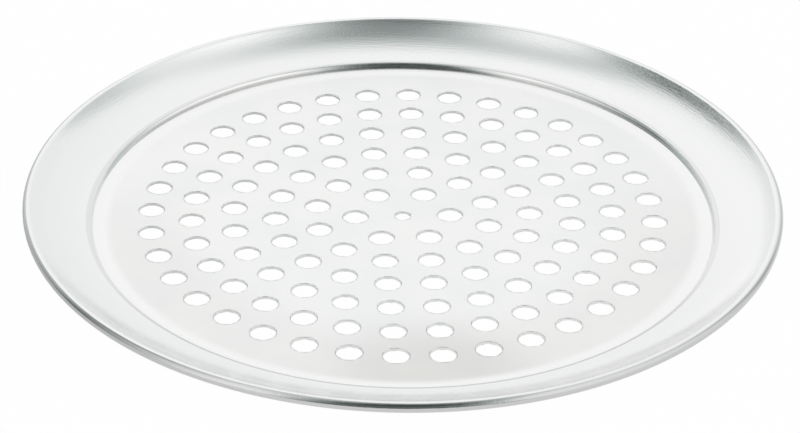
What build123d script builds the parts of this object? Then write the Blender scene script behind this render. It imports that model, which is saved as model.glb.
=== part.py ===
"""Perforated 12 inch pizza pan, punched, pressed and curled from one aluminium disc.

Millimetres. The origin is the centre of the underside and +Z points up.
"""
import os
from math import acos, atan2, cos, degrees, radians, sin

from build123d import *

# The disc that everything is pressed from
sheet_thickness = 1.0
well_radius = 118.0          # flat part of the bottom
rim_width = 27.5             # foot bend to the outermost edge
pan_height = 13.5            # underside to the top of the bead
overrun = 1.0                # how far punches reach past the sheet

# The step round the well, after a slow rise; bends are measured to the middle of the sheet
toe_width = 6.9              # slow rise from the flat part to the foot bend
toe_slope = 9                # degrees, where the rise meets the foot bend
step_height = 2.8            # flat part to the start of the rim
step_lean = 75               # degrees, slope of the step
foot_bend = 0.75
crest_bend = 1.9

# The wide rim, hollow from above, and its rolled edge
rim_start_slope = 9          # degrees, where the rim leaves the crest
bead_diameter = 4.1
curl_gap = 0.4               # left between the end of the curl and the underside of the rim

# The punched holes
hole_diameter = 10.0
centre_hole_diameter = 6.35
plain_border = 16.2          # from the outer ring of hole centres to the end of the flat part
first_ring_holes = 6
ring_shares = (0.188, 0.347, 0.506, 0.673, 0.837, 1.0)


def sheet_side(shift):
    """One face of the sheet as a tangent chain, shift above the middle of the sheet."""
    half_sheet = sheet_thickness / 2
    bead_radius = bead_diameter / 2
    curl_bend = bead_radius - half_sheet
    bottom = Line((0, half_sheet + shift), (well_radius, half_sheet + shift))
    toe_end = radians(toe_slope)
    toe_bend = toe_width / sin(toe_end)
    toe = JernArc(bottom @ 1, (1, 0), toe_bend - shift, toe_slope)
    foot = JernArc(toe @ 1, toe % 1, foot_bend - shift, step_lean - toe_slope)

    # The straight of the step makes up the height that the three bends leave
    lean = radians(step_lean)
    start = radians(rim_start_slope)
    toe_rise = toe_bend * (1 - cos(toe_end))
    foot_rise = foot_bend * (cos(toe_end) - cos(lean))
    crest_rise = crest_bend * (cos(start) - cos(lean))
    straight = (step_height - toe_rise - foot_rise - crest_rise) / sin(lean)
    step = PolarLine(foot @ 1, straight, step_lean)
    crest = JernArc(step @ 1, step % 1, crest_bend + shift, rim_start_slope - step_lean)

    # The rim is the one arc that leaves the crest at its slope and meets the bead's curl
    leave = crest @ 1 + Vector(sin(start), -cos(start)) * shift
    bead = Vector(well_radius + toe_width + rim_width - bead_radius, pan_height - bead_radius)
    across = leave - bead
    side = Vector(-sin(start), cos(start))
    square = across.dot(across) - curl_bend**2
    rim_bend = square / (curl_bend - side.dot(across)) / 2
    hub = leave + side * rim_bend
    rim_turn = degrees(atan2(bead.X - hub.X, hub.Y - bead.Y)) - rim_start_slope
    rim = JernArc(crest @ 1, crest % 1, rim_bend - shift, rim_turn)

    # The roll goes on until its outer face is the gap away from the rim's underside
    curl_turn = 360 - degrees(acos((bead_radius - sheet_thickness - curl_gap) / bead_radius))
    curl = JernArc(rim @ 1, rim % 1, curl_bend + shift, -curl_turn)
    return [bottom, toe, foot, step, crest, rim, curl]


# Pressed disc: both faces of the sheet, closed at the middle and at the end of the curl
upper = sheet_side(sheet_thickness / 2)
lower = sheet_side(-sheet_thickness / 2)
middle_edge = Line(upper[0] @ 0, lower[0] @ 0)
curl_edge = Line(upper[-1] @ 1, lower[-1] @ 1)
section = make_face(Plane.XZ * Wire(upper + lower + [middle_edge, curl_edge]))
pressed = revolve(section, Axis.Z)

# Punches: one in the middle, then rings of 6, 12, 18 and so on, every other ring turned
# by half a step
outer_ring_radius = well_radius - plain_border
punch_outline = Sketch() + Circle(centre_hole_diameter / 2)
for ring, share in enumerate(ring_shares, start=1):
    count = first_ring_holes * ring
    turn = 180 / count if ring % 2 == 0 else 0
    places = PolarLocations(outer_ring_radius * share, count, turn)
    punch_outline += places * Circle(hole_diameter / 2)
punches = extrude(Pos(0, 0, -overrun) * punch_outline, sheet_thickness + 2 * overrun)

pan = pressed - punches
pan.label = "pan"

os.makedirs("parts", exist_ok=True)
export_step(pan, "parts/pan.step")
print("solids", len(pan.solids()), "volume", round(pan.volume, 1), "box", pan.bounding_box())
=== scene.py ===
"""Looks of the perforated pizza pan: pressed aluminium sheet with its finish, the table and the studio."""
from math import acos, atan2, cos, pi, radians, sin, tau

import bpy
from mathutils import Matrix, Vector
from mathutils.geometry import delaunay_2d_cdt


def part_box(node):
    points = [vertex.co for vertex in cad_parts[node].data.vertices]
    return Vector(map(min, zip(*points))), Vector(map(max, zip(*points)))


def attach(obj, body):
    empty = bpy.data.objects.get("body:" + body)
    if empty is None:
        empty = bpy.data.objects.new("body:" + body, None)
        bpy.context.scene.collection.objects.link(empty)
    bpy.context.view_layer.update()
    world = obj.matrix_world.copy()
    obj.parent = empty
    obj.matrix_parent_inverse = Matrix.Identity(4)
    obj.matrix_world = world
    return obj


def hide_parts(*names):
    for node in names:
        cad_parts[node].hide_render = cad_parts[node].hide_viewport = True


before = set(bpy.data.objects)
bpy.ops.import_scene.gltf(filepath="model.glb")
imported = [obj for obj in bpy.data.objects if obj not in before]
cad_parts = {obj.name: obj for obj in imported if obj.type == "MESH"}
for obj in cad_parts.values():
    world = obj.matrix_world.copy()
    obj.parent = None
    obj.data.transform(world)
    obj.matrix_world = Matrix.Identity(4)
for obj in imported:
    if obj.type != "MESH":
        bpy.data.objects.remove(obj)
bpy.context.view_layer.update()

# Spun rim.
# The pan is one disc of 1 mm aluminium. Its well rises a little at the border, where it is
# pressed up in a low step, spun out to a wide hollow rim and rolled over into an empty bead.
pan_low, pan_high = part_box("pan")
pan_radius = pan_high.y
pan_height = pan_high.z
underside = pan_low.z
sheet = 0.0010
half_sheet = sheet / 2
well_radius = 0.1180
toe_width = 0.0069
toe_slope = radians(9)
step_height = 0.0028
step_lean = radians(75)
foot_bend = 0.00075
crest_bend = 0.0019
rim_start = radians(9)
bead_radius = 0.00205
curl_gap = 0.0004
cut_edge_share = 0.4         # how far the cut edge of the sheet bulges, of half its thickness
well_margin = [0.1120, 0.1160]

# Rows of faces along each stretch of the section, and the faces round the pan
toe_rows = 6
foot_rows = 8
straight_rows = 3
crest_rows = 9
rim_rows = 24
curl_rows = 40
cut_edge_rows = 6
around = 720
rolled_finish, spun_finish, punched_finish = 0, 1, 2
points, faces, finishes = [], [], []


def walk(start, heading, bend, turn, rows):
    """Places along one bend of the sheet's middle line: (r, z, heading) after each small step."""
    places = []
    side = 1 if turn > 0 else -1
    hub_r = start[0] - side * bend * sin(heading)
    hub_z = start[1] + side * bend * cos(heading)
    for row in range(1, rows + 1):
        now = heading + turn * row / rows
        places.append((hub_r + side * bend * sin(now), hub_z - side * bend * cos(now), now))
    return places


def middle_line():
    """The sheet's middle from the edge of the flat well to the end of the curl."""
    line = [(well_radius, half_sheet, 0.0)]
    toe_bend = toe_width / sin(toe_slope)
    line += walk(line[-1], 0.0, toe_bend, toe_slope, toe_rows)
    line += walk(line[-1], toe_slope, foot_bend, step_lean - toe_slope, foot_rows)
    bends = (toe_bend * (1 - cos(toe_slope)) + foot_bend * (cos(toe_slope) - cos(step_lean))
             + crest_bend * (cos(rim_start) - cos(step_lean)))
    straight = (step_height - bends) / sin(step_lean)
    foot_r, foot_z = line[-1][:2]
    for row in range(1, straight_rows + 1):
        climb = straight * (row / straight_rows)
        line.append((foot_r + climb * cos(step_lean), foot_z + climb * sin(step_lean), step_lean))
    line += walk(line[-1], step_lean, crest_bend, rim_start - step_lean, crest_rows)

    # The rim is one arc from the crest to the bead's curl, tangent to both
    leave = Vector(line[-1][:2])
    bead = Vector((pan_radius - bead_radius, pan_height - bead_radius))
    curl_bend = bead_radius - half_sheet
    across = leave - bead
    side = Vector((-sin(rim_start), cos(rim_start)))
    rim_bend = (across.dot(across) - curl_bend**2) / (curl_bend - side.dot(across)) / 2
    hub = leave + side * rim_bend
    rim_end = atan2(bead.x - hub.x, hub.y - bead.y)
    line += walk(line[-1], rim_start, rim_bend, rim_end - rim_start, rim_rows)
    curl_turn = tau - acos((bead_radius - sheet - curl_gap) / bead_radius)
    line += walk(line[-1], rim_end, curl_bend, -curl_turn, curl_rows)
    return line


def sheet_faces(line):
    """Upper and lower face of the sheet beside its middle line, with the cut edge rounded."""
    upper = [(r - half_sheet * sin(a), z + half_sheet * cos(a)) for r, z, a in line]
    lower = [(r + half_sheet * sin(a), z - half_sheet * cos(a)) for r, z, a in line]
    r, z, a = line[-1]
    edge = []
    for row in range(1, cut_edge_rows):
        b = pi / 2 - pi * row / cut_edge_rows
        bulge = cos(b) * cut_edge_share
        edge.append((r + half_sheet * (bulge * cos(a) - sin(b) * sin(a)),
                     z + half_sheet * (bulge * sin(a) + sin(b) * cos(a))))
    return upper, edge, lower


upper, edge, lower = sheet_faces(middle_line())
margin_above = [(r, sheet) for r in well_margin]
margin_below = [(r, underside) for r in well_margin[::-1]]
section = margin_above + upper + edge + lower[::-1] + margin_below
loops = []
for r, z in section:
    loops.append(len(points))
    points += [(r * cos(tau * k / around), r * sin(tau * k / around), z) for k in range(around)]
for row, (low, high) in enumerate(zip(loops, loops[1:])):
    on_well = min(row, len(loops) - 2 - row) < len(well_margin) + toe_rows
    for k in range(around):
        after = (k + 1) % around
        faces.append((low + k, high + k, high + after, low + after))
        finishes.append(rolled_finish if on_well else spun_finish)


def add_node(tree, kind, inputs, **settings):
    """A node with its settings, and with each input set to a value or linked to a socket."""
    made = tree.nodes.new("ShaderNode" + kind)
    for name, value in settings.items():
        setattr(made, name, value)
    for name, value in inputs.items():
        if isinstance(value, bpy.types.NodeSocket):
            tree.links.new(value, made.inputs[name])
        else:
            made.inputs[name].default_value = value
    return made


def sum_of(tree, operation, first, second=0.0):
    """One arithmetic step."""
    return add_node(tree, "Math", {0: first, 1: second}, operation=operation).outputs[0]


def fade(tree, value, reach, low, high):
    """A soft step from low at the start of the reach to high at its end."""
    inputs = {"Value": value, "From Min": reach[0], "From Max": reach[1], "To Min": low, "To Max": high}
    return add_node(tree, "MapRange", inputs, interpolation_type="SMOOTHSTEP").outputs["Result"]


def stretch(tree, place, scale):
    """The place drawn out along each axis, so that a pattern on it gets a grain."""
    return add_node(tree, "VectorMath", {0: place, 1: scale}, operation="MULTIPLY").outputs[0]


def mottle(tree, place, scale, detail):
    """A soft random pattern, about 0.5 in the mean."""
    return add_node(tree, "TexNoise", {"Vector": place, "Scale": scale, "Detail": detail}).outputs["Fac"]


def tinted(tree, amount, first, second):
    """A colour between two, by amount."""
    mix = add_node(tree, "Mix", {"Factor": amount}, data_type="RGBA")
    mix.inputs["A"].default_value = (*first, 1)
    mix.inputs["B"].default_value = (*second, 1)
    return mix.outputs["Result"]


def dimmed(tree, colour, undimmed, dim_tone):
    """A colour, toned down towards a darker tone where the mask falls from one to nothing, for painted
    shade and a greyer border.
    """
    inputs = {"Factor": 1.0, "A": colour, "B": tinted(tree, undimmed, dim_tone, (1, 1, 1))}
    return add_node(tree, "Mix", inputs, data_type="RGBA", blend_type="MULTIPLY").outputs["Result"]


def relief(tree, height, depth, under=None):
    """Small height on the surface, over another relief where there is one."""
    inputs = {"Height": height, "Distance": depth}
    if under:
        inputs["Normal"] = under
    return add_node(tree, "Bump", inputs).outputs["Normal"]


def bare_metal(name):
    """A new metal finish: its material, node tree and shader, and the place on the pan."""
    metal = bpy.data.materials.new(name)
    metal.use_nodes = True
    tree = metal.node_tree
    shader = tree.nodes["Principled BSDF"]
    shader.inputs["Metallic"].default_value = 1.0
    return metal, tree, shader, add_node(tree, "TexCoord", {}).outputs["Object"]


def from_middle(tree, place):
    """Distance from the pan's axis, and the direction round it."""
    level = stretch(tree, place, (1, 1, 0))
    radius = add_node(tree, "VectorMath", {0: level}, operation="LENGTH").outputs["Value"]
    bearing = add_node(tree, "VectorMath", {0: level}, operation="NORMALIZE").outputs[0]
    return radius, bearing


# Finish of the spun sheet. A grain is the fineness of a random pattern and its detail. A reach
# is where along the sheet a change begins and where it ends.
contrast = 0.3, 0.7          # the middle values of a pattern, where most of it lies
spun_colours = (0.895, 0.90, 0.90), (0.925, 0.925, 0.92)
spun_roughness = 0.12, 0.20
spun_anisotropy = 0.4
quarter_turn = 0.25
tint_grain = 120, 2.0
line_grain = 1200, 4.0
line_relief = 0.00004
line_circle = 0.014          # the pattern is laid round a circle this small, so the lines run long
pit_grain = 1100, 2.0
pit_relief = 0.00002
slow_grain = 16, 1.0
slow_relief = 0.00020
# Painted shade: a dark line in the corner at the foot of the step, at the back only
foot_line = 0.1251           # distance from the pan's axis
foot_line_reach = 0.0001, 0.0007
foot_line_back = 0.04, 0.08  # where it comes in, towards the back
foot_painted_shade_tone = 0.62, 0.62, 0.61
# Painted reflection: a dark line over the crest of the step, strongest at the front
crest_line = 0.1269
crest_line_reach = 0.0002, 0.0010
crest_line_back = -0.10, -0.04
crest_line_lost = 0.65       # share of it that is gone there, towards the back
crest_painted_reflection_tone = 0.72, 0.72, 0.71
# Painted shade: the outside of the bead darker, a painted reflection of the shaded table
bead_outside = 0.1505, 0.1514
bead_painted_shade_tone = 0.72, 0.72, 0.72


def spun_aluminium():
    """Bright spun sheet: fine lines round the pan, small pits and a slow unevenness."""
    metal, tree, shader, place = bare_metal("spun_aluminium")
    radius, bearing = from_middle(tree, place)
    axes = add_node(tree, "SeparateXYZ", {0: place})
    away, height = axes.outputs["Y"], axes.outputs["Z"]

    # Spinning lines: fine across the rim, drawn out along it
    across = add_node(tree, "CombineXYZ", {"Z": sum_of(tree, "ADD", radius, height)}).outputs[0]
    drawn_out = {0: bearing, 1: (line_circle, line_circle, line_circle), 2: across}
    spun = add_node(tree, "VectorMath", drawn_out, operation="MULTIPLY_ADD").outputs[0]
    lines = mottle(tree, spun, *line_grain)
    pits = mottle(tree, place, *pit_grain)
    slow = mottle(tree, place, *slow_grain)
    normal = relief(tree, slow, slow_relief)
    normal = relief(tree, lines, line_relief, normal)
    normal = relief(tree, pits, pit_relief, normal)
    tree.links.new(normal, shader.inputs["Normal"])
    colour = tinted(tree, mottle(tree, spun, *tint_grain), *spun_colours)

    # Painted shade: a dark line in the corner at the foot of the step, here at the back only, a painted
    # dark reflection over its crest, strongest at the front, and painted shade on the outside of the bead
    from_foot = sum_of(tree, "ABSOLUTE", sum_of(tree, "SUBTRACT", radius, foot_line))
    from_crest = sum_of(tree, "ABSOLUTE", sum_of(tree, "SUBTRACT", radius, crest_line))
    at_sides = fade(tree, away, foot_line_back, 1, 0)
    off_foot_shade = sum_of(tree, "MAXIMUM", fade(tree, from_foot, foot_line_reach, 0, 1), at_sides)
    behind = fade(tree, away, crest_line_back, 0, crest_line_lost)
    off_crest_reflection = sum_of(tree, "MAXIMUM", fade(tree, from_crest, crest_line_reach, 0, 1), behind)
    colour = dimmed(tree, colour, off_foot_shade, foot_painted_shade_tone)
    colour = dimmed(tree, colour, off_crest_reflection, crest_painted_reflection_tone)
    colour = dimmed(tree, colour, fade(tree, radius, bead_outside, 1, 0), bead_painted_shade_tone)
    tree.links.new(colour, shader.inputs["Base Color"])
    tree.links.new(fade(tree, pits, contrast, *spun_roughness), shader.inputs["Roughness"])
    shader.inputs["Anisotropic"].default_value = spun_anisotropy
    shader.inputs["Anisotropic Rotation"].default_value = quarter_turn
    tangent = add_node(tree, "Tangent", {}, direction_type="RADIAL", axis="Z")
    tree.links.new(tangent.outputs["Tangent"], shader.inputs["Tangent"])
    return metal


# Punched well.
# The flat bottom still has the mill's rolled surface, with its grain from side to side. It has
# a centre hole and rings of round holes, every other ring turned by half a step. Each punch
# leaves a rolled-over upper edge, a bright wall and a slight break below.
hole_radius = 0.0050
centre_hole_radius = 0.003175
outer_ring = 0.1018
first_ring_holes = 6
ring_shares = (0.188, 0.347, 0.506, 0.673, 0.837, 1.0)
roll_over = 0.00022
roll_rows = 5
collar = roll_over * 1.6     # flat sheet round each hole, out from its wall
sheared_share = 0.4          # height of the row half way down the wall, of the sheet
broken_edge = 0.00008
around_hole = 40
plate_grid = 0.004           # between the loose points in the flat sheet
row_share = 0.866            # from one row of them to the next, of the grid
hole_clearance = 0.0016
margin_clearance = 0.0012
merge_reach = 1e-7           # points nearer than this are one
hole_places = [(0.0, 0.0, centre_hole_radius)]
for ring, share in enumerate(ring_shares, start=1):
    count = first_ring_holes * ring
    for step in range(count):
        angle = tau * (step + (0.5 if ring % 2 == 0 else 0)) / count
        hole_places.append((outer_ring * share * cos(angle), outer_ring * share * sin(angle), hole_radius))


def hole_profile(radius):
    """(radius, z) down one hole: flat collar, rolled edge, wall, small broken edge, flat collar."""
    places = [(radius + collar, sheet)]
    for row in range(roll_rows + 1):
        a = pi / 2 * row / roll_rows
        places.append((radius + roll_over * (1 - sin(a)), sheet - roll_over * (1 - cos(a))))
    places.append((radius, sheet * sheared_share))
    places.append((radius, broken_edge))
    places.append((radius + broken_edge, underside))
    places.append((radius + collar, underside))
    return places


top_loops, bottom_loops = [(loops[0], around)], [(loops[-1], around)]
for x, y, radius in hole_places:
    rings = []
    for r, z in hole_profile(radius):
        rings.append(len(points))
        points += [(x + r * cos(tau * k / around_hole), y + r * sin(tau * k / around_hole), z)
                   for k in range(around_hole)]
    for row, (above, below) in enumerate(zip(rings, rings[1:])):
        for k in range(around_hole):
            after = (k + 1) % around_hole
            faces.append((above + k, above + after, below + after, below + k))
            finishes.append(rolled_finish if row in (0, len(rings) - 2) else punched_finish)
    top_loops.append((rings[0], around_hole))
    bottom_loops.append((rings[-1], around_hole))


def near_hole(p, clearance):
    """Whether a place is in a hole, or nearer to one than the clearance."""
    return any((p.x - x)**2 + (p.y - y)**2 < (radius + clearance)**2 for x, y, radius in hole_places)


def add_plate(plate_loops, z, upwards):
    """Flat sheet between the holes, triangulated with a loose grid of points in it."""
    own = [start + k for start, count in plate_loops for k in range(count)]
    flat = [Vector(points[i][:2]) for i in own]
    edges, at = [], 0
    for start, count in plate_loops:
        edges += [(at + k, at + (k + 1) % count) for k in range(count)]
        at += count
    spread = int(well_margin[0] / plate_grid) + 1
    for i in range(-spread, spread + 1):
        for j in range(-spread, spread + 1):
            p = Vector((plate_grid * (i + 0.5 * (j % 2)), plate_grid * row_share * j))
            if p.length < well_margin[0] - margin_clearance and not near_hole(p, hole_clearance):
                flat.append(p)
    made = delaunay_2d_cdt(flat, edges, [], 0, merge_reach)
    index = []
    for p, origin in zip(made[0], made[3]):
        if origin and origin[0] < len(own):
            index.append(own[origin[0]])
        else:
            index.append(len(points))
            points.append((p.x, p.y, z))
    for tri in made[2]:
        corners = [made[0][k] for k in tri]
        centre = sum(corners, Vector((0, 0))) / 3
        if centre.length > well_margin[0] or near_hole(centre, 0):
            continue
        turn = (corners[1] - corners[0]).cross(corners[2] - corners[0])
        order = tri if (turn > 0) == upwards else tri[::-1]
        faces.append(tuple(index[k] for k in order))
        finishes.append(rolled_finish)


add_plate(top_loops, sheet, True)
add_plate(bottom_loops, underside, False)

# Finish of the rolled sheet
mill_colours = (0.935, 0.94, 0.94), (0.965, 0.965, 0.955)
mill_contrast = 0.38, 0.62
mill_roughness = 0.34, 0.42
streak_draw = 0.06, 1, 1     # the streaks run along X
streak_grain = 900, 4.0
streak_share = 0.3
streak_relief = 0.000004
cloud_grain = 30, 3.0
cloud_share = 0.7
cloud_relief = 0.00003
# Painted shade: a grey patch at the front of the well; the border is a little greyer too
front_painted_shade_middle = 0.004, -0.118, 0.001
front_painted_shade_reach = 0.014, 0.056
front_painted_shade_tone = 0.89, 0.89, 0.88
border_reach = 0.070, 0.105
border_end = -0.03, 0.05     # how far back the grey of the border fades
border_tone = 0.95, 0.945, 0.94
burnished_reach = 0.1170, 0.1215
burnished_colour = 0.955, 0.955, 0.95
burnished_roughness = 0.24


def rolled_aluminium():
    """Matt mill finish with fine streaks along X, clouds and a burnished ring by the foot."""
    metal, tree, shader, place = bare_metal("rolled_aluminium")
    radius = from_middle(tree, place)[0]
    streaks = mottle(tree, stretch(tree, place, streak_draw), *streak_grain)
    clouds = mottle(tree, place, *cloud_grain)
    streaked = sum_of(tree, "MULTIPLY", streaks, streak_share)
    clouded = sum_of(tree, "MULTIPLY", clouds, cloud_share)
    pattern = fade(tree, sum_of(tree, "ADD", streaked, clouded), mill_contrast, 0, 1)
    plain = tinted(tree, pattern, *mill_colours)

    # Painted shade in a patch at the front, and the border a little greyer except at the back
    from_front_shade = {0: place, 1: front_painted_shade_middle}
    apart = add_node(tree, "VectorMath", from_front_shade, operation="DISTANCE").outputs["Value"]
    away = add_node(tree, "SeparateXYZ", {0: place}).outputs["Y"]
    on_border = fade(tree, radius, border_reach, 0, 1)
    border = sum_of(tree, "MULTIPLY", on_border, fade(tree, away, border_end, 1, 0))
    plain = dimmed(tree, plain, fade(tree, apart, front_painted_shade_reach, 0, 1), front_painted_shade_tone)
    plain = dimmed(tree, plain, sum_of(tree, "SUBTRACT", 1, border), border_tone)

    # The forming tool burnishes the last few millimetres before the foot
    burnished = fade(tree, radius, burnished_reach, 0, 1)
    blend = {"Factor": burnished, "A": plain, "B": (*burnished_colour, 1)}
    colour = add_node(tree, "Mix", blend, data_type="RGBA")
    tree.links.new(colour.outputs["Result"], shader.inputs["Base Color"])
    matt = fade(tree, streaks, contrast, *mill_roughness)
    rough = add_node(tree, "Mix", {"Factor": burnished, "A": matt, "B": burnished_roughness})
    tree.links.new(rough.outputs["Result"], shader.inputs["Roughness"])
    normal = relief(tree, clouds, cloud_relief)
    normal = relief(tree, streaks, streak_relief, normal)
    tree.links.new(normal, shader.inputs["Normal"])
    return metal


# Finish of the holes' walls
wall_colours = (0.86, 0.87, 0.87), (0.95, 0.95, 0.95)
wall_roughness = 0.40, 0.52
drag_draw = 1, 1, 0.1        # the lines run down the wall
drag_grain = 2500, 2.0
drag_relief = 0.000010


def punched_edge():
    """Sheared wall of a hole, with drag lines down it."""
    metal, tree, shader, place = bare_metal("punched_edge")
    drag = mottle(tree, stretch(tree, place, drag_draw), *drag_grain)
    tree.links.new(tinted(tree, drag, *wall_colours), shader.inputs["Base Color"])
    tree.links.new(fade(tree, drag, contrast, *wall_roughness), shader.inputs["Roughness"])
    tree.links.new(relief(tree, drag, drag_relief), shader.inputs["Normal"])
    return metal


mesh = bpy.data.meshes.new("pan_sheet")
mesh.from_pydata(points, [], faces)
mesh.polygons.foreach_set("material_index", finishes)
mesh.update()
mesh.validate()
mesh.shade_smooth()
for finish in (rolled_aluminium(), spun_aluminium(), punched_edge()):
    mesh.materials.append(finish)
pan = bpy.data.objects.new("pan_sheet", mesh)
bpy.context.scene.collection.objects.link(pan)
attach(pan, "root")
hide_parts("pan")

# Table.
# A plain white table that the pan rests on. The camera sees it as white, with the pan's faint
# shadow on it. In the metal it shows brighter at the front right and darker at the back left, a
# painted pool of light and painted shadow in its glow.
table_reach = 6
table_drop = 0.00002
table_colour = 0.85, 0.85, 0.85
seen_white = 0.985           # how much of the plain white the camera sees, the rest is lit paint
# Painted light and painted shadow on the table, seen only in the metal
painted_light_side = 0.6, -0.8, 0
painted_light_reach = -0.12, 0.10
painted_light_shares = 0.08, 0.72
floor_mesh = bpy.data.meshes.new("table")
floor_mesh.from_pydata([(x * table_reach, y * table_reach, -table_drop)
                        for x, y in ((-1, -1), (1, -1), (1, 1), (-1, 1))], [], [(0, 1, 2, 3)])
floor = bpy.data.objects.new("table", floor_mesh)
bpy.context.scene.collection.objects.link(floor)
paint = bpy.data.materials.new("white_table")
paint.use_nodes = True
tree = paint.node_tree
tree.nodes.clear()
seen = add_node(tree, "LightPath", {})
matt = add_node(tree, "BsdfDiffuse", {"Color": (*table_colour, 1)})
white = add_node(tree, "Emission", {"Color": (1, 1, 1, 1), "Strength": 1.0})
spot = add_node(tree, "TexCoord", {}).outputs["Object"]
towards = add_node(tree, "VectorMath", {0: spot, 1: painted_light_side}, operation="DOT_PRODUCT").outputs["Value"]
painted_light = fade(tree, towards, painted_light_reach, *painted_light_shares)
mirrored = sum_of(tree, "MULTIPLY", seen.outputs["Is Glossy Ray"], painted_light)
direct = sum_of(tree, "MULTIPLY", seen.outputs["Is Camera Ray"], seen_white)
surface = add_node(tree, "MixShader", {0: sum_of(tree, "MAXIMUM", direct, mirrored)})
tree.links.new(matt.outputs[0], surface.inputs[1])
tree.links.new(white.outputs[0], surface.inputs[2])
add_node(tree, "OutputMaterial", {"Surface": surface.outputs[0]})
floor_mesh.materials.append(paint)

# Studio.
# A white cloth tent, open overhead in a dark slot that widens towards the camera, with dark
# parts far and near and a little more light from both sides. Places are in degrees from straight
# overhead, as on a plan of the tent: right of the camera's line of sight, and back away from it.
view_turn = radians(-4.0)
dark_tint = 0.85, 1.0, 0.97
world = bpy.data.worlds.new("studio")
bpy.context.scene.world = world
world.use_nodes = True
tree = world.node_tree
tree.nodes.clear()
direction = add_node(tree, "TexCoord", {}).outputs["Generated"]


def along(axis):
    """How far the light's direction points along an axis."""
    return add_node(tree, "VectorMath", {0: direction, 1: axis}, operation="DOT_PRODUCT").outputs["Value"]


to_right = along((cos(view_turn), sin(view_turn), 0))
to_back = along((-sin(view_turn), cos(view_turn), 0))
from_top = sum_of(tree, "MULTIPLY", sum_of(tree, "ARCCOSINE", along((0, 0, 1))), 180 / pi)
outwards = add_node(tree, "CombineXYZ", {"X": to_right, "Y": to_back}).outputs[0]
outwards = add_node(tree, "VectorMath", {0: outwards}, operation="NORMALIZE").outputs[0]
plan = add_node(tree, "VectorMath", {0: outwards, "Scale": from_top}, operation="SCALE").outputs[0]
plan_axes = add_node(tree, "SeparateXYZ", {0: plan})
right, back = plan_axes.outputs["X"], plan_axes.outputs["Y"]


def sloped(value, slope, start):
    """A straight line over a value: the start, and the slope times the value."""
    return sum_of(tree, "ADD", sum_of(tree, "MULTIPLY", value, slope), start)


def patch(centre, half_size, turn, blur, light):
    """Light left in an oval of the tent: light at its middle, all of it outside, blurred between."""
    inputs = {"Vector": plan, "Location": (*centre, 0), "Rotation": (0, 0, radians(turn)),
              "Scale": (*half_size, 1)}
    oval = add_node(tree, "Mapping", inputs, vector_type="TEXTURE").outputs[0]
    reach = add_node(tree, "VectorMath", {0: oval}, operation="LENGTH").outputs["Value"]
    return fade(tree, reach, (1 - blur, 1 + blur), light, 1)


# The slot overhead
slot_middle = sloped(back, 0.07, 2.5)
slot_half_width = sloped(sum_of(tree, "MINIMUM", back, 0), -0.276, 12.4)
slot_blur = 11.6
off_middle = sum_of(tree, "ABSOLUTE", sum_of(tree, "SUBTRACT", right, slot_middle))
off_slot = sum_of(tree, "SUBTRACT", off_middle, slot_half_width)
far_end = fade(tree, back, (3.6, 22.8), 1, 0)
near_end = fade(tree, back, (-85.9, -39), 0, 1)
depth = fade(tree, back, (-13, -7.3), 0.934, 0.728)
lost = sum_of(tree, "MULTIPLY", fade(tree, off_slot, (-slot_blur, slot_blur), 1, 0), depth)
lost = sum_of(tree, "MULTIPLY", lost, sum_of(tree, "MULTIPLY", far_end, near_end))
light = sum_of(tree, "SUBTRACT", 1.0, lost)

# Openings, pole, cross bar, skirt and near wall, which are darker, and the brighter cloth
far_left = patch((-89, 19), (41, 45.4), 34.4, 0.98, 0.30)
far_left_edge = patch((-69, 38.5), (22.7, 216), -27.6, 0.12, 0.85)
left_pole = patch((-36, 27.7), (3.6, 19), 13, 0.98, 0.11)
far_right = patch((60, 43), (12.4, 34.4), -58, 0.28, 0.68)
far_side = patch((66, 78.7), (16, 19.2), 25, 0.15, 0.38)
cross_bar = patch((-60, 17), (67.6, 8.4), 0, 0.98, 0.57)
near_skirt = patch((-7, -83), (38.6, 32.8), 26, 0.5, 0.24)
right_lamp = patch((40.6, -24.7), (71.8, 35), 21.7, 0.12, 1.10)
left_lamp = patch((-76, -31), (51, 21.7), 14.6, 0.12, 1.08)
far_glow = patch((-13, 97), (120, 15.2), 25, 0.34, 1.06)
near_wall = fade(tree, back, (-80, -62.5), 0.41, 1)
for part in (far_left, far_left_edge, left_pole, far_right, far_side, cross_bar, near_skirt,
             right_lamp, left_lamp, far_glow, near_wall):
    light = sum_of(tree, "MULTIPLY", light, part)

# The cloth is lit a little more from the left and from the front
side_light = sum_of(tree, "ADD", sloped(right, -0.0017, 1.022), sum_of(tree, "MULTIPLY", back, -0.0011))
light = sum_of(tree, "MULTIPLY", light, side_light)

# What is dark is a little green and blue
cloth = {"Color": tinted(tree, light, dark_tint, (1, 1, 1)), "Strength": light}
tent = add_node(tree, "Background", cloth)
plain_white = add_node(tree, "Background", {"Color": (1, 1, 1, 1), "Strength": 1.0})
seen = add_node(tree, "LightPath", {})
sky = add_node(tree, "MixShader", {0: seen.outputs["Is Camera Ray"]})
tree.links.new(tent.outputs[0], sky.inputs[1])
tree.links.new(plain_white.outputs[0], sky.inputs[2])
add_node(tree, "OutputWorld", {"Surface": sky.outputs[0]})

# Camera.
# It looks down on the pan from the front, as the photograph does. The pan's middle has its
# place in the camera's own axes: right, up and towards the eye.
look_down = 31.127
view_roll = 0.848
pan_in_view = Vector((0.00113, -0.00013, -1.1903))
camera_data = bpy.data.cameras.new("camera")
camera_data.sensor_width = 36
camera_data.lens = 132.285
camera_data.clip_end = 50
camera = bpy.data.objects.new("camera", camera_data)
bpy.context.scene.collection.objects.link(camera)
turn = (Matrix.Rotation(view_turn, 4, "Z") @ Matrix.Rotation(radians(90 - look_down), 4, "X")
        @ Matrix.Rotation(radians(view_roll), 4, "Z"))
camera.matrix_world = Matrix.Translation(Vector((0, 0, half_sheet)) - turn.to_3x3() @ pan_in_view) @ turn
bpy.context.scene.camera = camera
bpy.context.scene.view_settings.view_transform = "Standard"
